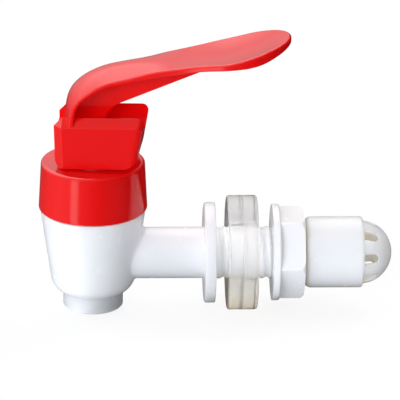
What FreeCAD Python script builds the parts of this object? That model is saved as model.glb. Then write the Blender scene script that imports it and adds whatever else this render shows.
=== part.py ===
import FreeCAD
import Part
import os
from math import cos, pi, radians, sin, sqrt, tan

V = FreeCAD.Vector

# Sizes in mm. The frame's origin is the middle of the flange's wall side, on the shank's axis.
# X runs along the shank into the container, Z is up, and Y points away from the viewer.

# Place of the barrel and of the lever
REACH = 37.2
LEVER_YAW = -7.0

# Shank, flange and inlet tube
THREAD_R = 8.0
TUBE_R = 7.85
INLET_BORE_R = 5.6
SHANK_END_CHAMFER = 0.8
FLANGE_R = 15.4
FLANGE_T = 3.4
FLANGE_EDGE_R = 0.9
TUBE_BLEND_R = 1.2

# Barrel, outlet and the neck that carries the bonnet
BARREL_TOP_R = 16.0
BARREL_TOP_Z = 15.0
BARREL_LOW_R = 12.9
BARREL_LOW_Z = -7.2
OUTLET_R = 9.15
OUTLET_TOP_Z = -11.7
OUTLET_END_Z = -16.7
OUTLET_BORE_R = 7.2
OUTLET_EDGE = 0.4
BARREL_WALL = 2.3
CHAMBER_R = 10.5
CHAMBER_CORNER_R = 3.0
NECK_R = 13.6
NECK_CHAMFER = 0.6
SEAT_BORE_R = 6.0
SEAT_WALL = 1.3
SEAT_Z = -7.0

# Bonnet
BONNET_LOW_Z = 15.3
BONNET_TOP_Z = 30.3
BONNET_LOW_R = 16.5
BONNET_TOP_R = 15.7
BONNET_EDGE_R = 0.9
BONNET_FOOT_R = 0.5
BONNET_ROOF = 2.4
BONNET_GUIDE_L = 4.6
BONNET_GUIDE_WALL = 0.85
THREAD_PLAY = 0.1

# Seat cup
CUP_LIP_T = 1.6
CUP_WALL = 1.2
CUP_PLUG_R = 7.7
CUP_PLUG_CHAMFER = 0.8
CUP_PLUG_TOP_Z = -0.6
CUP_RIM_HOLE_R = 5.3
CUP_SIDE_PLAY = 0.2

# Stem
STEM_R = 3.0
STEM_PLAY = 0.08
FOOT_R = 6.0
FOOT_T = 1.8
FOOT_Z = -3.2
FOOT_PLAY = 0.1
CROSS_R = 2.1
CROSS_LIFT = 5.6
CROSS_SINK = 1.45
CROSS_PLAY = 0.08

# Return spring
SPRING_R = 4.6
SPRING_WIRE_R = 0.5
SPRING_TURNS = 7
SPRING_SEAT_GAP = 0.03

# Lever: cam box
BOX_PLAY = 0.6
BOX_LEAN = 1.6
BOX_LEFT = -10.8
BOX_HALF_DEPTH = 9.3
BOX_TOP_RIGHT = 16.9
BOX_SLANT = 11.0
BOX_CHAMFER = 2.5
BOX_CHAMFER_R = 0.4
BOX_END_R = 2.0
CAM_R = 5.0
CAM_FLAT_END = 9.6
HEEL_R = 2.2
CHEEK_T = 2.65
END_WALL_T = 2.6
DECK_GAP = 1.32
DECK_T = 1.6
CHANNEL_DEPTH = 4.7
LUG_SLOT_W = 3.4
LUG_SLOT_SINK = 0.9

# Lever: web and paddle
WEB_T = 2.6
WEB_FRONT = 3.8
WEB_RISE = 24.2
WEB_CORNER_R = 7.0
WEB_END_DEPTH = 4.05
PADDLE_T = 2.1
PADDLE_TIP = 59.1
PADDLE_TIP_L = 14.7
PADDLE_HALF_W = 13.4
PADDLE_EDGE_R = 0.6
PADDLE_SPARE = 0.8

# Shank's washers, lock nut and strainer cap
WASHER_R = 17.5
WASHER_T = 4.6
WASHER_EDGE_R = 0.8
WASHER_SEAM_R = 0.15
WASHER_START = 3.6
SHANK_PLAY = 0.08
NUT_GAP = 4.6
NUT_L = 9.7
NUT_FLANGE_R = 14.75
NUT_FLANGE_T = 2.2
NUT_FLATS = 24.8
NUT_CORNER_R = 0.8
NUT_CHAMFER_R = 13.2
CAP_GAP = 0.1
CAP_GRIP_L = 14.2
CAP_L = 18.0
CAP_R = 10.9
CAP_START_EDGE_R = 2.2
CAP_END_EDGE_R = 0.8
CAP_DOME_R = 9.7
CAP_DOME_H = 9.0
CAP_WALL = 1.6
CAP_SLOTS = 8
CAP_SLOT_W = 3.2
CAP_SLOT_L = 4.3
CAP_SLOT_TURN = 7.5

BARREL_X = -REACH
UP = V(0, 0, 1)
ALONG = V(1, 0, 0)
AWAY = V(0, 1, 0)


def face_from(edges):
    return Part.Face(Part.Wire(edges))


def polygon(points):
    return Part.makePolygon(points + [points[0]])


def edges_where(shape, test):
    return [edge for edge in shape.Edges if test(edge)]


def round_edges_at(shape, radius, test):
    return shape.makeFillet(radius, edges_where(shape, test))


def turned(shape_face, origin, axis):
    return shape_face.revolve(origin, axis, 360)


def profile_about_barrel(points):
    """Solid of revolution about the barrel's axis from (radius, height) corners."""
    corners = [V(BARREL_X + r, 0, z) for r, z in points]
    return turned(Part.Face(polygon(corners)), V(BARREL_X, 0, 0), UP)


def cylinder_x(radius, start, end):
    return Part.makeCylinder(radius, end - start, V(start, 0, 0), ALONG)


def cylinder_z(radius, low, high):
    return Part.makeCylinder(radius, high - low, V(BARREL_X, 0, low), UP)


def circle_at_x(radius, x):
    def test(edge):
        curve = edge.Curve
        return (isinstance(curve, Part.Circle) and abs(curve.Radius - radius) < 1e-4
                and abs(edge.CenterOfMass.x - x) < 1e-4)
    return test


def circle_at_z(radius, z):
    def test(edge):
        curve = edge.Curve
        return (isinstance(curve, Part.Circle) and abs(curve.Radius - radius) < 1e-4
                and abs(edge.CenterOfMass.z - z) < 1e-4)
    return test


def tangent_arc(start, heading, end):
    """Arc from start to end that leaves start along heading, in the XZ plane."""
    heading = V(heading).normalize()
    side = V(-heading.z, 0, heading.x)
    chord = end - start
    radius = chord.Length ** 2 / (2 * chord.dot(side))
    centre = start + side * radius
    middle = ((start - centre) + (end - centre)).normalize() * abs(radius) + centre
    return Part.Arc(start, middle, end).toShape()


# Levels inside the tap that several pieces share
ROOF_Z = BONNET_TOP_Z - BONNET_ROOF
NECK_TOP_Z = ROOF_Z - CUP_LIP_T
CHAMBER_FLOOR_Z = OUTLET_TOP_Z + BARREL_WALL
FOOT_TOP_Z = FOOT_Z + FOOT_T
BOX_LOW_Z = BONNET_TOP_Z + BOX_PLAY
CROSS_Z = BOX_LOW_Z + CROSS_LIFT
DECK_Z = CROSS_Z + CROSS_R + CROSS_PLAY + DECK_GAP
BOX_TOP_Z = DECK_Z + DECK_T + CHANNEL_DEPTH

# Places along the shank, each from the piece before it
WASHER_SEAM = WASHER_START + WASHER_T
NUT_START = WASHER_SEAM + WASHER_T + NUT_GAP
CAP_START = NUT_START + NUT_L + CAP_GAP
SHANK_L = CAP_START + CAP_GRIP_L


def valve_body():
    taper = V(BARREL_LOW_R - BARREL_TOP_R, 0, BARREL_LOW_Z - BARREL_TOP_Z)
    low_side = V(BARREL_X + BARREL_LOW_R, 0, BARREL_LOW_Z)
    outlet_root = V(BARREL_X + OUTLET_R, 0, OUTLET_TOP_Z)
    outline = [V(BARREL_X, 0, OUTLET_END_Z), V(BARREL_X + OUTLET_R - OUTLET_EDGE, 0, OUTLET_END_Z),
               V(BARREL_X + OUTLET_R, 0, OUTLET_END_Z + OUTLET_EDGE), outlet_root]
    upper = [low_side, V(BARREL_X + BARREL_TOP_R, 0, BARREL_TOP_Z),
             V(BARREL_X + NECK_R, 0, BARREL_TOP_Z), V(BARREL_X + NECK_R, 0, NECK_TOP_Z - NECK_CHAMFER),
             V(BARREL_X + NECK_R - NECK_CHAMFER, 0, NECK_TOP_Z), V(BARREL_X, 0, NECK_TOP_Z)]
    edges = [Part.makeLine(a, b) for a, b in zip(outline, outline[1:])]
    edges.append(tangent_arc(low_side, taper, outlet_root))
    edges += [Part.makeLine(a, b) for a, b in zip(upper, upper[1:])]
    edges.append(Part.makeLine(upper[-1], outline[0]))
    body = turned(face_from(Part.__sortEdges__(edges)), V(BARREL_X, 0, 0), UP)

    tube = cylinder_x(TUBE_R, BARREL_X, -FLANGE_T / 2)
    body = body.fuse(tube)
    body = round_edges_at(body, TUBE_BLEND_R, lambda e: isinstance(e.Curve, Part.BSplineCurve))

    flange = cylinder_x(FLANGE_R, -FLANGE_T, 0)
    flange = round_edges_at(flange, FLANGE_EDGE_R, circle_at_x(FLANGE_R, -FLANGE_T))
    flange = round_edges_at(flange, FLANGE_EDGE_R / 2, circle_at_x(FLANGE_R, 0))
    shank = cylinder_x(THREAD_R, -FLANGE_T / 2, SHANK_L)
    shank = shank.makeChamfer(SHANK_END_CHAMFER, edges_where(shank, circle_at_x(THREAD_R, SHANK_L)))
    body = body.fuse([flange, shank])

    chamber = cylinder_z(CHAMBER_R, CHAMBER_FLOOR_Z, NECK_TOP_Z)
    chamber = round_edges_at(chamber, CHAMBER_CORNER_R, circle_at_z(CHAMBER_R, CHAMBER_FLOOR_Z))
    seat = cylinder_z(SEAT_BORE_R + SEAT_WALL, CHAMBER_FLOOR_Z, SEAT_Z)
    chamber = chamber.cut(seat)
    outlet_step = OUTLET_TOP_Z + (OUTLET_R - OUTLET_BORE_R) / 4
    outlet = cylinder_z(OUTLET_BORE_R, OUTLET_END_Z, outlet_step)
    drain = cylinder_z(SEAT_BORE_R, outlet_step, SEAT_Z)
    inlet = cylinder_x(INLET_BORE_R, BARREL_X, SHANK_L)
    return body.cut([chamber, outlet, drain, inlet]).removeSplitter()


def bonnet():
    skirt = profile_about_barrel([(0, BONNET_LOW_Z), (BONNET_LOW_R, BONNET_LOW_Z),
                                  (BONNET_TOP_R, BONNET_TOP_Z), (0, BONNET_TOP_Z)])
    skirt = round_edges_at(skirt, BONNET_EDGE_R, circle_at_z(BONNET_TOP_R, BONNET_TOP_Z))
    skirt = round_edges_at(skirt, BONNET_FOOT_R, circle_at_z(BONNET_LOW_R, BONNET_LOW_Z))
    inside = cylinder_z(NECK_R + THREAD_PLAY, BONNET_LOW_Z, ROOF_Z)
    guide_r = STEM_R + STEM_PLAY
    guide = cylinder_z(guide_r + BONNET_GUIDE_WALL, ROOF_Z - BONNET_GUIDE_L, ROOF_Z)
    hole = cylinder_z(guide_r, ROOF_Z - BONNET_GUIDE_L, BONNET_TOP_Z)
    return skirt.cut(inside).fuse(guide).cut(hole).removeSplitter()


def seat_cup():
    top_r = CHAMBER_R - CUP_SIDE_PLAY
    pocket_r = FOOT_R + FOOT_PLAY
    inner_top_r = top_r - CUP_WALL
    floor_z = FOOT_Z - FOOT_PLAY
    rim_z = FOOT_TOP_Z + FOOT_PLAY
    return profile_about_barrel([
        (0, SEAT_Z), (CUP_PLUG_R - CUP_PLUG_CHAMFER, SEAT_Z), (CUP_PLUG_R, SEAT_Z + CUP_PLUG_CHAMFER),
        (CUP_PLUG_R, CUP_PLUG_TOP_Z), (top_r, NECK_TOP_Z), (NECK_R - NECK_CHAMFER, NECK_TOP_Z),
        (NECK_R - NECK_CHAMFER, ROOF_Z), (inner_top_r, ROOF_Z),
        (CUP_PLUG_R - CUP_WALL, CUP_PLUG_TOP_Z), (CUP_RIM_HOLE_R, CUP_PLUG_TOP_Z),
        (CUP_RIM_HOLE_R, rim_z), (pocket_r, rim_z), (pocket_r, floor_z), (0, floor_z)])


def lever_frame(shape):
    """From the lever's own frame, barrel's axis at zero, into the part's frame at its yaw."""
    placed = shape.copy()
    placed.rotate(V(0, 0, 0), UP, LEVER_YAW)
    placed.translate(V(BARREL_X, 0, 0))
    return placed


def stem():
    foot = Part.makeCylinder(FOOT_R, FOOT_T, V(0, 0, FOOT_Z), UP)
    shaft = Part.makeCylinder(STEM_R, CROSS_Z + CROSS_R - FOOT_Z, V(0, 0, FOOT_Z), UP)
    cross_half = BOX_HALF_DEPTH - CHEEK_T + CROSS_SINK
    cross = Part.makeCylinder(CROSS_R, 2 * cross_half, V(0, -cross_half, CROSS_Z), AWAY)
    rounding = CROSS_R / 4
    cross = cross.makeFillet(rounding, edges_where(cross, lambda e: e.BoundBox.YLength < 1e-6))
    return lever_frame(foot.fuse([shaft, cross]).removeSplitter())


def return_spring():
    low = FOOT_TOP_Z + SPRING_WIRE_R + SPRING_SEAT_GAP
    high = ROOF_Z - SPRING_WIRE_R - SPRING_SEAT_GAP
    pitch = (high - low) / SPRING_TURNS
    path = Part.makeHelix(pitch, high - low, SPRING_R)
    corners = []
    for i in range(6):
        angle = radians(60 * i + 30)
        corners.append(V(SPRING_R + SPRING_WIRE_R * cos(angle), 0, SPRING_WIRE_R * sin(angle)))
    section = polygon(corners)
    coil = Part.Wire(path.Edges).makePipeShell([section], True, True)
    coil.translate(V(BARREL_X, 0, low))
    return coil


def bevelled(block, slope):
    """Box with its left and top edges cut at 45 degrees and the edges of its sloping end rounded."""
    def on_end(edge):
        return edge.BoundBox.ZMax > BOX_LOW_Z and all(
            abs(v.X - BOX_TOP_RIGHT + (BOX_TOP_Z - v.Z) * slope) < 1e-4 for v in edge.Vertexes)

    left_edges = edges_where(block, lambda e: (
        e.BoundBox.XMax < BOX_LEFT + BOX_CHAMFER and e.BoundBox.ZMax > BOX_LOW_Z))
    top_edges = edges_where(block, lambda e: (
        e.BoundBox.ZMin > BOX_TOP_Z - BOX_CHAMFER and e.BoundBox.XLength > BOX_CHAMFER))
    block = block.makeChamfer(BOX_CHAMFER, left_edges + top_edges)
    block = round_edges_at(block, BOX_END_R, on_end)
    return round_edges_at(block, BOX_CHAMFER_R, lambda e: (
        e.BoundBox.ZMax > BOX_LOW_Z and e.BoundBox.XMax < BOX_TOP_RIGHT - BOX_CHAMFER))


def cam_box():
    """Hollow box of the lever, its two cheeks shaped below as the cams that rock on the bonnet."""
    slope = tan(radians(BOX_SLANT))
    spare = 2 * CAM_R
    base_z = BOX_LOW_Z - spare
    base_right = BOX_TOP_RIGHT - (BOX_TOP_Z - base_z) * slope
    side = polygon([V(BOX_LEFT, -BOX_HALF_DEPTH, base_z), V(base_right, -BOX_HALF_DEPTH, base_z),
                    V(BOX_TOP_RIGHT, -BOX_HALF_DEPTH, BOX_TOP_Z), V(BOX_LEFT, -BOX_HALF_DEPTH, BOX_TOP_Z)])
    block = Part.Face(side).extrude(AWAY * 2 * BOX_HALF_DEPTH)
    block = bevelled(block, slope)

    centre = V(CAM_FLAT_END, 0, BOX_LOW_Z + CAM_R)
    wide = BOX_TOP_RIGHT + spare
    left = BOX_LEFT - spare
    heel = V(BOX_LEFT + HEEL_R, 0, BOX_LOW_Z + HEEL_R)
    high = BOX_TOP_Z + spare
    cam_exit = centre + V(cos(radians(BOX_SLANT)), 0, -sin(radians(BOX_SLANT))) * CAM_R
    cam_middle = centre + V(sin(radians(40)), 0, -cos(radians(40))) * CAM_R
    side_exit = cam_exit + V(slope, 0, 1) * (high - cam_exit.z)
    diagonal = sqrt(0.5)
    outline = [
        Part.makeLine(V(BOX_LEFT, 0, high), V(BOX_LEFT, 0, heel.z)),
        Part.Arc(V(BOX_LEFT, 0, heel.z), heel - V(diagonal, 0, diagonal) * HEEL_R,
                 V(heel.x, 0, BOX_LOW_Z)).toShape(),
        Part.makeLine(V(heel.x, 0, BOX_LOW_Z), V(CAM_FLAT_END, 0, BOX_LOW_Z)),
        Part.Arc(V(CAM_FLAT_END, 0, BOX_LOW_Z), cam_middle, cam_exit).toShape(),
        Part.makeLine(cam_exit, side_exit), Part.makeLine(side_exit, V(BOX_LEFT, 0, high))]
    cams = face_from(outline).extrude(AWAY * 2 * BOX_HALF_DEPTH)
    cams.translate(AWAY * -BOX_HALF_DEPTH)
    block = block.common(cams)

    inner_half = BOX_HALF_DEPTH - CHEEK_T
    inner_left = BOX_LEFT + END_WALL_T
    lower_right = CAM_FLAT_END + CAM_R - 2 * END_WALL_T
    lower = Part.makeBox(lower_right - inner_left, 2 * inner_half, DECK_Z - BOX_LOW_Z,
                         V(inner_left, -inner_half, BOX_LOW_Z))
    upper = Part.makeBox(wide - left, 2 * inner_half, BOX_TOP_Z - DECK_Z - DECK_T,
                         V(left, -inner_half, DECK_Z + DECK_T))
    box = block.cut([lower, upper])

    socket_half = inner_half + CROSS_SINK + CROSS_PLAY
    socket = Part.makeCylinder(CROSS_R + CROSS_PLAY, 2 * socket_half, V(0, -socket_half, CROSS_Z), AWAY)
    slot_half = inner_half + LUG_SLOT_SINK
    slot = Part.makeBox(LUG_SLOT_W, 2 * slot_half, CROSS_Z - BOX_LOW_Z,
                        V(-LUG_SLOT_W / 2, -slot_half, BOX_LOW_Z))
    box = box.cut([socket, slot])
    box.rotate(V(0, 0, CROSS_Z), AWAY, -BOX_LEAN)
    return box


# Stations of the paddle's sheet from its root in the box to past its tip: place of the top
# surface's middle (along, up from the deck), heading in degrees above the horizontal, crown of the back (+) or
# dish (-) at the sheet's edge, and thickness there.
PADDLE_STATIONS = [
    (-8.0, 1.5, 90, 2.6, 1.6),
    (-8.1, 8.0, 86, 3.0, 1.5),
    (-5.7, 14.6, 50, 4.5, 1.4),
    (-1.9, 17.8, 35, 4.9, 1.5),
    (3.1, 20.2, 24, 4.6, 1.7),
    (10.3, 22.05, 16, 3.45, 1.9),
    (19.3, 23.25, 12, 1.2, 1.9),
    (26.0, 23.8, 11, -0.1, 1.9),
    (33.0, 24.9, 11, -0.6, 1.8),
    (40.0, 25.8, 12, -1.1, 2.0),
    (47.0, 27.5, 16, -1.3, 3.0),
    (53.0, 29.9, 18, -1.0, 3.6),
    (60.0, 32.7, 18, -0.5, 3.8),
]
WEB_STATIONS = slice(1, 9)

# Half width of the paddle seen from above, at places along it: it narrows, then flares to the tip.
PADDLE_FLARE = [(-8.0, 9.1), (8.0, 8.3), (19.0, 8.9), (26.0, 9.8), (33.0, 11.1), (39.0, 12.8)]


def station_normal(station):
    angle = radians(station[2])
    return V(-sin(angle), 0, cos(angle))


def paddle_section(station):
    along, up, heading, crown, side = station
    passed = [half for start, half in PADDLE_FLARE if start <= along]
    half = (passed or [PADDLE_FLARE[0][1]])[-1] + PADDLE_SPARE
    normal = station_normal(station)
    middle = V(along, 0, DECK_Z + up)
    edge = middle - normal * crown
    near = edge - AWAY * half
    far = edge + AWAY * half
    drop = normal * side
    return Part.Wire([
        Part.Arc(near, middle, far).toShape(),
        Part.makeLine(far, far - drop),
        Part.Arc(far - drop, middle - normal * PADDLE_T, near - drop).toShape(),
        Part.makeLine(near - drop, near)])


def paddle_flare(side):
    """Edge of the plan outline on one side, from the root to the tip's widest place."""
    widest = V(PADDLE_TIP - PADDLE_TIP_L, side * PADDLE_HALF_W, 0)
    points = [V(u, side * half, 0) for u, half in PADDLE_FLARE] + [widest]
    curve = Part.BSplineCurve()
    curve.interpolate(points, InitialTangent=ALONG, FinalTangent=ALONG)
    root = V(BOX_LEFT - PADDLE_T, side * PADDLE_FLARE[0][1], 0)
    return [Part.makeLine(root, points[0]), curve.toShape()]


def paddle():
    sheet = Part.makeLoft([paddle_section(s) for s in PADDLE_STATIONS], True, False, False, 2)
    centre = V(PADDLE_TIP - PADDLE_TIP_L, 0, 0)
    tip = Part.ArcOfEllipse(Part.Ellipse(centre, PADDLE_TIP_L, PADDLE_HALF_W), -pi / 2, pi / 2)
    near = paddle_flare(-1)
    far = paddle_flare(1)
    root = Part.makeLine(far[0].Vertexes[0].Point, near[0].Vertexes[0].Point)
    plan = face_from(Part.__sortEdges__(near + [tip.toShape()] + far + [root]))
    plate = sheet.common(plan.extrude(UP * 3 * PADDLE_TIP))
    return round_edges_at(plate, PADDLE_EDGE_R, lambda e: (
        e.Length > PADDLE_FLARE[0][1] and e.BoundBox.XLength > 2 * PADDLE_T))


def web():
    """Flat web under the paddle: its front stands in the box and curves into the sloping lower edge."""
    deck = DECK_Z + DECK_T / 2
    stations = PADDLE_STATIONS[WEB_STATIONS]
    upper = [V(s[0], 0, DECK_Z + s[1]) - station_normal(s) * PADDLE_T / 2 for s in stations]
    tip = upper[-1] - station_normal(stations[-1]) * (WEB_END_DEPTH - PADDLE_T / 2)
    rise = radians(WEB_RISE)
    slope = V(cos(rise), 0, sin(rise))
    corner = tip - slope * ((tip.x - WEB_FRONT) / slope.x)
    reach = WEB_CORNER_R * tan((pi / 2 - rise) / 2)
    front_end = corner - UP * reach
    slope_start = corner + slope * reach
    foot = V(upper[0].x, 0, deck)
    front_foot = V(WEB_FRONT, 0, deck)
    edges = [Part.makeLine(foot, front_foot), Part.makeLine(front_foot, front_end),
             tangent_arc(front_end, UP, slope_start), Part.makeLine(slope_start, tip),
             Part.makeLine(tip, upper[-1]), Part.makePolygon(upper), Part.makeLine(upper[0], foot)]
    edges = [e for part in edges for e in part.Edges]
    solid = face_from(Part.__sortEdges__(edges)).extrude(AWAY * WEB_T)
    solid.translate(AWAY * -WEB_T / 2)
    return solid


def lever():
    solid = cam_box().fuse([paddle(), web()]).removeSplitter()
    return lever_frame(solid)


def washer(start, seam):
    """Soft ring from start, its rim rounded but for the edge at seam, where the two rings meet."""
    end = start + WASHER_T
    outward = start + end - seam
    ring = cylinder_x(WASHER_R, start, end)
    ring = round_edges_at(ring, WASHER_EDGE_R, circle_at_x(WASHER_R, outward))
    ring = round_edges_at(ring, WASHER_SEAM_R, circle_at_x(WASHER_R, seam))
    return ring.cut(cylinder_x(THREAD_R + SHANK_PLAY, start, end))


def lock_nut():
    end = NUT_START + NUT_L
    corner_r = NUT_FLATS / sqrt(3)
    corners = []
    for i in range(6):
        angle = radians(60 * i)
        corners.append(V(NUT_START, corner_r * cos(angle), corner_r * sin(angle)))
    hexagon = Part.Face(polygon(corners)).extrude(ALONG * NUT_L)
    hexagon = round_edges_at(hexagon, NUT_CORNER_R, lambda e: e.BoundBox.XLength > NUT_L / 2)
    taper = Part.makeCone(NUT_CHAMFER_R + NUT_L, NUT_CHAMFER_R, NUT_L, V(NUT_START, 0, 0), ALONG)
    flange = cylinder_x(NUT_FLANGE_R, NUT_START, NUT_START + NUT_FLANGE_T)
    flange = round_edges_at(flange, NUT_FLANGE_T / 4, circle_at_x(NUT_FLANGE_R, NUT_START + NUT_FLANGE_T))
    bore = cylinder_x(THREAD_R + SHANK_PLAY, NUT_START, end)
    return hexagon.common(taper).fuse(flange).cut(bore).removeSplitter()


def dome(base_x, inset):
    """Part of a ball beyond base_x: the strainer's dome, or the hollow one wall inside it."""
    ball_r = (CAP_DOME_R ** 2 + CAP_DOME_H ** 2) / (2 * CAP_DOME_H)
    ball = Part.makeSphere(ball_r - inset, V(base_x + CAP_DOME_H - ball_r, 0, 0))
    keep = Part.makeBox(2 * ball_r, 4 * ball_r, 4 * ball_r, V(base_x, -2 * ball_r, -2 * ball_r))
    return ball.common(keep)


def strainer_cap():
    end = CAP_START + CAP_L
    barrel = cylinder_x(CAP_R, CAP_START, end)
    barrel = round_edges_at(barrel, CAP_START_EDGE_R, circle_at_x(CAP_R, CAP_START))
    barrel = round_edges_at(barrel, CAP_END_EDGE_R, circle_at_x(CAP_R, end))
    solid = barrel.fuse(dome(end, 0))
    socket = cylinder_x(THREAD_R + THREAD_PLAY, CAP_START, SHANK_L)
    throat = cylinder_x(THREAD_R - SHANK_END_CHAMFER, SHANK_L, end)
    hollow = dome(end, CAP_WALL)
    solid = solid.cut([socket, throat, hollow])
    slots = []
    straight = CAP_SLOT_L - CAP_SLOT_W / 2
    for i in range(CAP_SLOTS):
        cut = Part.makeBox(straight, 2 * CAP_DOME_R, CAP_SLOT_W, V(end, 0, -CAP_SLOT_W / 2))
        tip = Part.makeCylinder(CAP_SLOT_W / 2, 2 * CAP_DOME_R, V(end + straight, 0, 0), AWAY)
        slot = cut.fuse(tip)
        slot.rotate(V(0, 0, 0), ALONG, 180 - CAP_SLOT_TURN - i * 360 / CAP_SLOTS)
        slots.append(slot)
    return solid.cut(slots)


PIECES = {
    "valve_body": valve_body,
    "bonnet": bonnet,
    "seat_cup": seat_cup,
    "stem": stem,
    "return_spring": return_spring,
    "lever": lever,
    "outer_washer": lambda: washer(WASHER_START, WASHER_SEAM),
    "inner_washer": lambda: washer(WASHER_SEAM, WASHER_SEAM),
    "lock_nut": lock_nut,
    "strainer_cap": strainer_cap,
}

os.makedirs("parts", exist_ok=True)
for name, make in PIECES.items():
    shape = make()
    box = shape.BoundBox
    print(name, shape.ShapeType, len(shape.Solids), shape.isValid(), round(shape.Volume, 1),
          [round(v, 2) for v in (box.XMin, box.YMin, box.ZMin, box.XMax, box.YMax, box.ZMax)])
    shape.exportStep("parts/" + name + ".step")
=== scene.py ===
from math import cos, pi, radians, sin

import bmesh
import bpy
from mathutils import Matrix, Vector


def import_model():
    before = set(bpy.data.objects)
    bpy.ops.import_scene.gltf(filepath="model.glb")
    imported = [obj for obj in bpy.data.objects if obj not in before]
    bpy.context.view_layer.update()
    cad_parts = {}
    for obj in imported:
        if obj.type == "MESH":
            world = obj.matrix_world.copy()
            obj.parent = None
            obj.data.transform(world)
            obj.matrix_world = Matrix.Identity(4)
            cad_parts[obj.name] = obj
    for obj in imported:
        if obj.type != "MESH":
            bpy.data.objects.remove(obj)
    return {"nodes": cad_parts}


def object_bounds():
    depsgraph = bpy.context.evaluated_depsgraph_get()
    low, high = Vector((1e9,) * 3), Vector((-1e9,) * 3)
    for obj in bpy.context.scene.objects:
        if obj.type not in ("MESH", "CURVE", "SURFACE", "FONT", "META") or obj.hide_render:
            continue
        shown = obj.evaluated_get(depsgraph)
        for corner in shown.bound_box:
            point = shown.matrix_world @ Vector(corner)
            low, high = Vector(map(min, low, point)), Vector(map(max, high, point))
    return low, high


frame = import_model()
cad_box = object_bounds()
nodes = frame["nodes"]

MM = 0.001
TABLE_Z = cad_box[0][2]

# Camera: the photograph's viewing angle, fitted to the tap's round edges
VIEW_AZIMUTH = radians(-2.361)
VIEW_ELEVATION = radians(21.812)
VIEW_ROLL = radians(0.696)
VIEW_DISTANCE = 932.76 * MM
VIEW_TARGET = Vector((-4.692, 0, 17.245)) * MM
SENSOR = 36.0
FOCAL_PER_WIDTH = 7.672
CLIP_START = 10 * MM

# Shank's thread, cut into the plain shank: its crest is the shank's own surface
THREAD_R = 8.0 * MM
THREAD_PITCH = 2.6 * MM
THREAD_DEPTH = 0.5 * MM
THREAD_ROOT_W = 0.5 * MM
THREAD_CREST_W = 0.7 * MM
THREAD_START = 0.9 * MM
THREAD_END = 39.6 * MM
THREAD_STEPS = 48
CUTTER_MARGIN = 0.4 * MM

# Plain colours, in linear light
RED = (0.79, 0.003, 0.0035)
WHITE = (0.90, 0.905, 0.92)
# A lighter copy of WHITE: painted light on the nut, the strainer cap and the thread's groove
LIGHTENED_WHITE = (0.98, 0.98, 0.985)
CREAM = (0.84, 0.84, 0.82)
MILKY = (0.90, 0.89, 0.87)
# Painted shade: the washers' colour at their bottom
SHADED_MILKY = (0.85, 0.775, 0.62)
STEEL = (0.60, 0.61, 0.63)
# Colour of painted shade in the creases of moulded plastic
SHADED = (0.34, 0.32, 0.27)
# Warm painted shade in the strainer cap's creases and slots
WARM_PAINTED_SHADE = (0.87, 0.78, 0.65)

# Moulded plastic: scales of its noise, how closed a crease has to be for painted shade, and degrees of
# gloss
TINT_NOISE = 90
GLOSS_NOISE = 400
RIPPLE_NOISE = 260
RIPPLE_HEIGHT = 0.2 * MM
GLOSS_SWING = 0.15
NOISE_RANGE = (0.3, 0.7)
CREASE_RANGE = (0.15, 0.7)
CREASE_SAMPLES = 8
PLASTIC_IOR = 1.5
PLASTIC_SCATTER = (1.0, 0.95, 0.85)
POLISHED = 0.13
GLOSSY = 0.24
SATIN = 0.3
FAINT_RIPPLE = 0.005
FAINT_TINT = 0.015

# Silicone of the washers: painted shade, darker and warmer at the bottom, plain milky above
SHADE_BELOW = -12 * MM
UNSHADED_ABOVE = -7 * MM
SILICONE_ROUGHNESS = 0.1
SILICONE_IOR = 1.22
SILICONE_CLEARNESS = 0.8
SILICONE_SCATTER = (1.0, 0.99, 0.98)
SILICONE_DEPTH = 5 * MM
SILICONE_LETS_THROUGH = 0.85

# Wire of the return spring
WIRE_NOISE = 900
WIRE_ROUGHNESS = (0.22, 0.34)

# What reflections see of the studio: rings of brightness by height above the horizon (sine),
# each as (degrees round from straight towards the viewer, brightness)
REFLECTED = [
    (-0.28, [(-180, 0.07), (-135, 0.12), (-105, 0.28), (-75, 0.48), (-52, 0.42), (-45, 2.0),
             (-37, 2.0), (-28, 0.2), (0, 0.06), (40, 0), (120, 0), (180, 0.03)]),
    (0, [(-180, 0.5), (-105, 0.7), (-45, 0.6), (0, 0.2), (60, 0.03), (165, 0.02), (180, 0.4)]),
    (0.3, [(-180, 0.85), (-135, 1.35), (-105, 1.65), (-50, 1.0), (0, 0.3), (60, 0.1),
           (165, 0.05), (180, 0.7)]),
    (0.7, [(-180, 2.7), (-135, 3.3), (-105, 3.1), (-50, 1.2), (0, 0.4), (60, 0.15),
           (150, 0.15), (180, 2.6)]),
    (0.93, [(-180, 3.2), (-145, 4.5), (-95, 4.7), (-60, 1.5), (-45, 0.5), (0, 0.5), (60, 0.2),
            (140, 0.3), (180, 3.0)]),
]
REFLECTED_PEAK = 5.0
# Plain light that falls from all round: brighter from the left
AMBIENT = [(-180, 0.19), (-90, 0.44), (0, 0.10), (90, 0.03), (180, 0.19)]
AMBIENT_PEAK = 1.0

# Floor: white to the camera but for the object's shadow; through the washers a pale table, with painted
# shade near the object
FLOOR_SIZE = 6
FLOOR_GAP = 0.2 * MM
FLOOR_GREY = 0.46
FLOOR_ROUGHNESS = 0.9
FLOOR_GLOW = 1.235
FLOOR_GLOW_SHARE = 0.7
TABLE_NEAR = 0.0
TABLE_FAR = 60 * MM
TABLE_NEAR_COLOUR = (0.86, 0.86, 0.86)
TABLE_FAR_COLOUR = (0.88, 0.90, 0.945)
BEYOND_TABLE_COLOUR = (0.82, 0.84, 0.88)

# Soft lamps: name, degrees round from straight towards the viewer, degrees above the horizon,
# size in metres, watts, colour, and whether they show through the washers
LAMP_AIM = Vector((0, 0, 0.02))
LAMP_DISTANCE = 0.9
COOL = (0.89, 0.935, 1.0)
PLAIN = (1, 1, 1)
LAMPS = [
    ("key", -40, 17, (0.6, 0.45), 4.2, COOL, True),
    ("fill", -20, 28, (0.6, 0.45), 2.4, COOL, True),
    ("side", 120, 50, (0.45, 0.45), 3.5, PLAIN, True),
    ("back", 170, 40, (0.45, 0.45), 1.6, PLAIN, False),
    ("top", -120, 75, (0.6, 0.6), 1.6, PLAIN, True),
]
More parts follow.
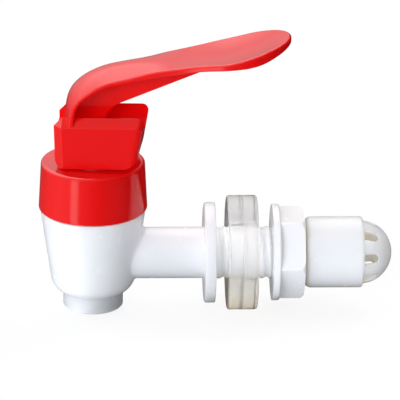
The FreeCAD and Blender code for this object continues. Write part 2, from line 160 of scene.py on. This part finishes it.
# Cards that lie on the table and throw light up: name, place, size in metres, watts
CARDS = [
    ("left_card", (-0.17, -0.10), (0.26, 0.26), 0.13),
    ("right_card", (0.08, -0.09), (0.13, 0.12), 0.06),
]


def new_material(name):
    material = bpy.data.materials.new(name)
    material.use_nodes = True
    tree = material.node_tree
    return material, tree, tree.nodes["Principled BSDF"]


def link(tree, source, target):
    tree.links.new(source, target)


def mix_colour(tree, factor, first, second):
    node = tree.nodes.new("ShaderNodeMix")
    node.data_type = "RGBA"
    link(tree, factor, node.inputs["Factor"])
    for value, name in ((first, "A"), (second, "B")):
        if isinstance(value, tuple):
            node.inputs[name].default_value = (*value, 1)
        else:
            link(tree, value, node.inputs[name])
    return node.outputs["Result"]


def mix_shaders(tree, factor, first, second):
    """Make the mix of two shaders the material's surface."""
    mix = tree.nodes.new("ShaderNodeMixShader")
    link(tree, factor, mix.inputs["Fac"])
    link(tree, first, mix.inputs[1])
    link(tree, second, mix.inputs[2])
    link(tree, mix.outputs["Shader"], tree.nodes["Material Output"].inputs["Surface"])


def calculate(tree, operation, first, second):
    """Result of an operation on a socket and either a number or another socket."""
    node = tree.nodes.new("ShaderNodeMath")
    node.operation = operation
    link(tree, first, node.inputs[0])
    if isinstance(second, (int, float)):
        node.inputs[1].default_value = second
    else:
        link(tree, second, node.inputs[1])
    return node.outputs["Value"]


def remap(tree, value, start, end, low=0.0, high=1.0, interpolation="LINEAR"):
    node = tree.nodes.new("ShaderNodeMapRange")
    node.interpolation_type = interpolation
    node.inputs["From Min"].default_value = start
    node.inputs["From Max"].default_value = end
    node.inputs["To Min"].default_value = low
    node.inputs["To Max"].default_value = high
    link(tree, value, node.inputs["Value"])
    return node.outputs["Result"]


def coordinates(tree, kind):
    place = tree.nodes.new("ShaderNodeTexCoord")
    axes = tree.nodes.new("ShaderNodeSeparateXYZ")
    link(tree, place.outputs[kind], axes.inputs["Vector"])
    return axes.outputs


def noise(tree, scale, detail=3.0):
    coords = tree.nodes.new("ShaderNodeTexCoord")
    texture = tree.nodes.new("ShaderNodeTexNoise")
    texture.inputs["Scale"].default_value = scale
    texture.inputs["Detail"].default_value = detail
    link(tree, coords.outputs["Object"], texture.inputs["Vector"])
    return texture.outputs["Fac"]


def uneven_gloss(tree, shader, scale, low, high):
    link(tree, remap(tree, noise(tree, scale), *NOISE_RANGE, low, high), shader.inputs["Roughness"])


def pass_light(tree, shader, share):
    """Let a share of the lamps' light through, as thin or milky walls do."""
    clear = tree.nodes.new("ShaderNodeBsdfTransparent")
    path = tree.nodes.new("ShaderNodeLightPath")
    passed = calculate(tree, "MULTIPLY", path.outputs["Is Shadow Ray"], share)
    mix_shaders(tree, passed, shader.outputs["BSDF"], clear.outputs["BSDF"])


def moulded(name, colour, roughness, unevenness=0.04, ripple=0.02, scatter=0.0, depth=1.5 * MM,
            crease=0.0, reach=4 * MM, painted_shade_colour=SHADED, let_through=0.0):
    """Moulded plastic: faint unevenness of tint, gloss and surface, and painted shade in narrow creases.
    """
    material, tree, shader = new_material(name)
    low = tuple(c * (1 - unevenness) for c in colour)
    high = tuple(min(1, c * (1 + unevenness)) for c in colour)
    surface = mix_colour(tree, noise(tree, TINT_NOISE), low, high)
    # Painted shade: creases that little light reaches are darkened towards the shade colour
    if crease:
        hidden = tree.nodes.new("ShaderNodeAmbientOcclusion")
        hidden.inputs["Distance"].default_value = reach
        hidden.samples = CREASE_SAMPLES
        openness = remap(tree, hidden.outputs["AO"], *CREASE_RANGE, 1 - crease)
        surface = mix_colour(tree, openness, painted_shade_colour, surface)
    link(tree, surface, shader.inputs["Base Color"])
    uneven_gloss(tree, shader, GLOSS_NOISE, roughness * (1 - GLOSS_SWING), roughness * (1 + GLOSS_SWING))
    bump = tree.nodes.new("ShaderNodeBump")
    bump.inputs["Strength"].default_value = ripple
    bump.inputs["Distance"].default_value = RIPPLE_HEIGHT
    link(tree, noise(tree, RIPPLE_NOISE, detail=2), bump.inputs["Height"])
    link(tree, bump.outputs["Normal"], shader.inputs["Normal"])
    shader.inputs["IOR"].default_value = PLASTIC_IOR
    if scatter:
        shader.inputs["Subsurface Weight"].default_value = scatter
        shader.inputs["Subsurface Radius"].default_value = PLASTIC_SCATTER
        shader.inputs["Subsurface Scale"].default_value = depth
    if let_through:
        pass_light(tree, shader, let_through)
    return material


def silicone():
    """Milky, half clear rubber: the shank and its thread show inside the washers."""
    material, tree, shader = new_material("milky_silicone")
    # Painted shade: the washers turn darker and warmer towards the bottom, by height
    unshaded = remap(tree, coordinates(tree, "Object")["Z"], SHADE_BELOW, UNSHADED_ABOVE)
    link(tree, mix_colour(tree, unshaded, SHADED_MILKY, MILKY), shader.inputs["Base Color"])
    shader.inputs["Roughness"].default_value = SILICONE_ROUGHNESS
    shader.inputs["IOR"].default_value = SILICONE_IOR
    shader.inputs["Transmission Weight"].default_value = SILICONE_CLEARNESS
    shader.inputs["Subsurface Weight"].default_value = 1.0
    shader.inputs["Subsurface Radius"].default_value = SILICONE_SCATTER
    shader.inputs["Subsurface Scale"].default_value = SILICONE_DEPTH
    pass_light(tree, shader, SILICONE_LETS_THROUGH)
    return material


def drawn_wire():
    material, tree, shader = new_material("drawn_wire")
    shader.inputs["Base Color"].default_value = (*STEEL, 1)
    shader.inputs["Metallic"].default_value = 1
    uneven_gloss(tree, shader, WIRE_NOISE, *WIRE_ROUGHNESS)
    return material


def dress(material, *names):
    for name in names:
        mesh = nodes[name].data
        mesh.materials.clear()
        mesh.materials.append(material)


def thread_groove():
    """Swept groove that winds along the shank, as a closed mesh."""
    out_r = THREAD_R + CUTTER_MARGIN
    root_r = THREAD_R - THREAD_DEPTH
    root_half = THREAD_ROOT_W / 2
    mouth_half = (THREAD_PITCH - THREAD_CREST_W) / 2
    flank = (mouth_half - root_half) / THREAD_DEPTH
    out_half = mouth_half + flank * CUTTER_MARGIN
    profile = [(-out_half, out_r), (-root_half, root_r), (root_half, root_r), (out_half, out_r)]
    count = int((THREAD_END - THREAD_START) / THREAD_PITCH * THREAD_STEPS)
    mesh = bmesh.new()
    rings = []
    for i in range(count + 1):
        angle = 2 * pi * i / THREAD_STEPS
        centre = THREAD_START + THREAD_PITCH * i / THREAD_STEPS
        ring = []
        for along, r in profile:
            ring.append(mesh.verts.new((centre + along, r * cos(angle), r * sin(angle))))
        rings.append(ring)
    sides = len(profile)
    for a, b in zip(rings, rings[1:]):
        for k in range(sides):
            mesh.faces.new((a[k], a[(k + 1) % sides], b[(k + 1) % sides], b[k]))
    mesh.faces.new(rings[0])
    mesh.faces.new(reversed(rings[-1]))
    bmesh.ops.recalc_face_normals(mesh, faces=mesh.faces)
    data = bpy.data.meshes.new("thread_cutter")
    mesh.to_mesh(data)
    mesh.free()
    return data


def cut_thread(material):
    """Cut the thread's groove out of the plain shank; the groove's faces take the material."""
    groove = thread_groove()
    groove.materials.append(material)
    cutter = bpy.data.objects.new("thread_cutter", groove)
    bpy.context.scene.collection.objects.link(cutter)
    modifier = nodes["valve_body"].modifiers.new("shank_thread", "BOOLEAN")
    modifier.operation = "DIFFERENCE"
    modifier.solver = "EXACT"
    modifier.material_mode = "TRANSFER"
    modifier.object = cutter
    cutter.hide_render = True
    cutter.hide_viewport = True


def outward(compass, rise):
    """Direction by angle round from straight towards the viewer and angle above the horizon."""
    return Vector((sin(compass) * cos(rise), -cos(compass) * cos(rise), sin(rise)))


def camera():
    out = outward(VIEW_AZIMUTH, VIEW_ELEVATION)
    flat_right = Vector((cos(VIEW_AZIMUTH), sin(VIEW_AZIMUTH), 0))
    flat_up = out.cross(flat_right)
    right = flat_right * cos(VIEW_ROLL) + flat_up * sin(VIEW_ROLL)
    up = flat_up * cos(VIEW_ROLL) - flat_right * sin(VIEW_ROLL)
    data = bpy.data.cameras.new("camera")
    data.sensor_width = SENSOR
    data.lens = SENSOR * FOCAL_PER_WIDTH
    data.clip_start = CLIP_START
    obj = bpy.data.objects.new("camera", data)
    turn = Matrix((right, up, out)).transposed().to_4x4()
    obj.matrix_world = Matrix.Translation(VIEW_TARGET + out * VIEW_DISTANCE) @ turn
    bpy.context.scene.collection.objects.link(obj)
    bpy.context.scene.camera = obj


def area_lamp(name, size, power, colour):
    data = bpy.data.lights.new(name, "AREA")
    data.shape = "RECTANGLE"
    data.size, data.size_y = size
    data.energy = power
    data.color = colour
    obj = bpy.data.objects.new(name, data)
    bpy.context.scene.collection.objects.link(obj)
    obj.visible_glossy = False
    return obj


def softbox(name, compass, height, size, power, colour, seen_through):
    obj = area_lamp(name, size, power, colour)
    out = outward(radians(compass), radians(height))
    obj.location = LAMP_AIM + out * LAMP_DISTANCE
    obj.rotation_euler = out.to_track_quat("Z", "Y").to_euler()
    obj.visible_transmission = seen_through


def card(name, place, size, power):
    obj = area_lamp(name, size, power, COOL)
    obj.location = (*place, TABLE_Z)
    obj.rotation_euler = (pi, 0, 0)
    obj.visible_camera = False
    obj.visible_transmission = False


def ring_of_light(tree, compass, stops, peak):
    """Brightness by compass angle, as shares of the peak."""
    ramp = tree.nodes.new("ShaderNodeValToRGB")
    ramp.color_ramp.interpolation = "EASE"
    elements = ramp.color_ramp.elements
    while len(elements) > 1:
        elements.remove(elements[-1])
    for i, (angle, level) in enumerate(stops):
        position = (angle + 180) / 360
        element = elements[0] if i == 0 else elements.new(position)
        element.position = position
        share = level / peak
        element.color = (share, share, share, 1)
    link(tree, remap(tree, compass, -pi, pi), ramp.inputs["Fac"])
    return ramp.outputs["Color"]


def world():
    """White to the camera and pale through the washers; reflections see a studio of soft strips."""
    scene_world = bpy.data.worlds.new("studio")
    bpy.context.scene.world = scene_world
    scene_world.use_nodes = True
    tree = scene_world.node_tree
    path = tree.nodes.new("ShaderNodeLightPath")
    axes = coordinates(tree, "Generated")
    to_viewer = calculate(tree, "MULTIPLY", axes["Y"], -1)
    compass = calculate(tree, "ARCTAN2", axes["X"], to_viewer)
    level, stops = REFLECTED[0]
    studio = ring_of_light(tree, compass, stops, REFLECTED_PEAK)
    for next_level, stops in REFLECTED[1:]:
        rise = remap(tree, axes["Z"], level, next_level, interpolation="SMOOTHSTEP")
        studio = mix_colour(tree, rise, studio, ring_of_light(tree, compass, stops, REFLECTED_PEAK))
        level = next_level
    brighter = tree.nodes.new("ShaderNodeVectorMath")
    brighter.operation = "SCALE"
    brighter.inputs["Scale"].default_value = REFLECTED_PEAK
    link(tree, studio, brighter.inputs[0])
    ambient = ring_of_light(tree, compass, AMBIENT, AMBIENT_PEAK)
    lit = mix_colour(tree, path.outputs["Is Glossy Ray"], ambient, brighter.outputs["Vector"])
    seen = mix_colour(tree, path.outputs["Is Camera Ray"], lit, (1, 1, 1))
    shown = mix_colour(tree, path.outputs["Is Transmission Ray"], seen, BEYOND_TABLE_COLOUR)
    link(tree, shown, tree.nodes["Background"].inputs["Color"])


def floor():
    bpy.ops.mesh.primitive_plane_add(size=FLOOR_SIZE, location=(0, 0, TABLE_Z - FLOOR_GAP))
    plane = bpy.context.object
    plane.name = "floor"
    material, tree, shader = new_material("white_floor")
    shader.inputs["Base Color"].default_value = (FLOOR_GREY, FLOOR_GREY, FLOOR_GREY, 1)
    shader.inputs["Roughness"].default_value = FLOOR_ROUGHNESS
    path = tree.nodes.new("ShaderNodeLightPath")
    through = path.outputs["Is Transmission Ray"]
    # Painted shade: the table seen through the washers is darker near the object
    away = remap(tree, coordinates(tree, "Object")["Y"], TABLE_NEAR, TABLE_FAR)
    table = mix_colour(tree, away, TABLE_NEAR_COLOUR, TABLE_FAR_COLOUR)
    glow = tree.nodes.new("ShaderNodeEmission")
    white_glow = (FLOOR_GLOW, FLOOR_GLOW, FLOOR_GLOW)
    link(tree, mix_colour(tree, through, white_glow, table), glow.inputs["Color"])
    seen = calculate(tree, "MAXIMUM", path.outputs["Is Camera Ray"], through)
    share = calculate(tree, "MULTIPLY", seen, FLOOR_GLOW_SHARE)
    mix_shaders(tree, share, shader.outputs["BSDF"], glow.outputs["Emission"])
    plane.data.materials.append(material)
    plane.visible_glossy = False


body_white = moulded("white_plastic", WHITE, GLOSSY, ripple=FAINT_RIPPLE, scatter=0.5,
                     depth=3 * MM, let_through=0.6)
# Painted light: the thread's groove is a lighter white than the body, lifting the shade between flange
# and washers
lightened_thread_white = moulded("lightened_thread_plastic", LIGHTENED_WHITE, SATIN, FAINT_TINT, scatter=1.0,
                     depth=4 * MM, let_through=0.6)
# Painted light and shade: a lighter white than the body, and painted shade in the nut's creases
nut_white = moulded("nut_white_plastic", LIGHTENED_WHITE, GLOSSY, FAINT_TINT, FAINT_RIPPLE,
                    scatter=0.3, crease=0.5)
# Painted light and shade: a lighter white than the body, and warm painted shade in the cap's creases and
# slots
thin_white = moulded("thin_white_plastic", LIGHTENED_WHITE, GLOSSY, FAINT_TINT, FAINT_RIPPLE,
                     scatter=1.0, depth=5 * MM, crease=1.0, reach=15 * MM,
                     painted_shade_colour=WARM_PAINTED_SHADE, let_through=0.65)
red = moulded("red_plastic", RED, POLISHED, let_through=0.6)
stem_plastic = moulded("stem_plastic", CREAM, SATIN)
dress(body_white, "valve_body")
dress(nut_white, "lock_nut")
dress(thin_white, "strainer_cap")
dress(stem_plastic, "stem")
dress(red, "bonnet", "lever")
dress(silicone(), "outer_washer", "inner_washer", "seat_cup")
dress(drawn_wire(), "return_spring")
cut_thread(lightened_thread_white)
camera()
world()
floor()
for lamp in LAMPS:
    softbox(*lamp)
for flat_card in CARDS:
    card(*flat_card)
bpy.context.scene.view_settings.view_transform = "Standard"
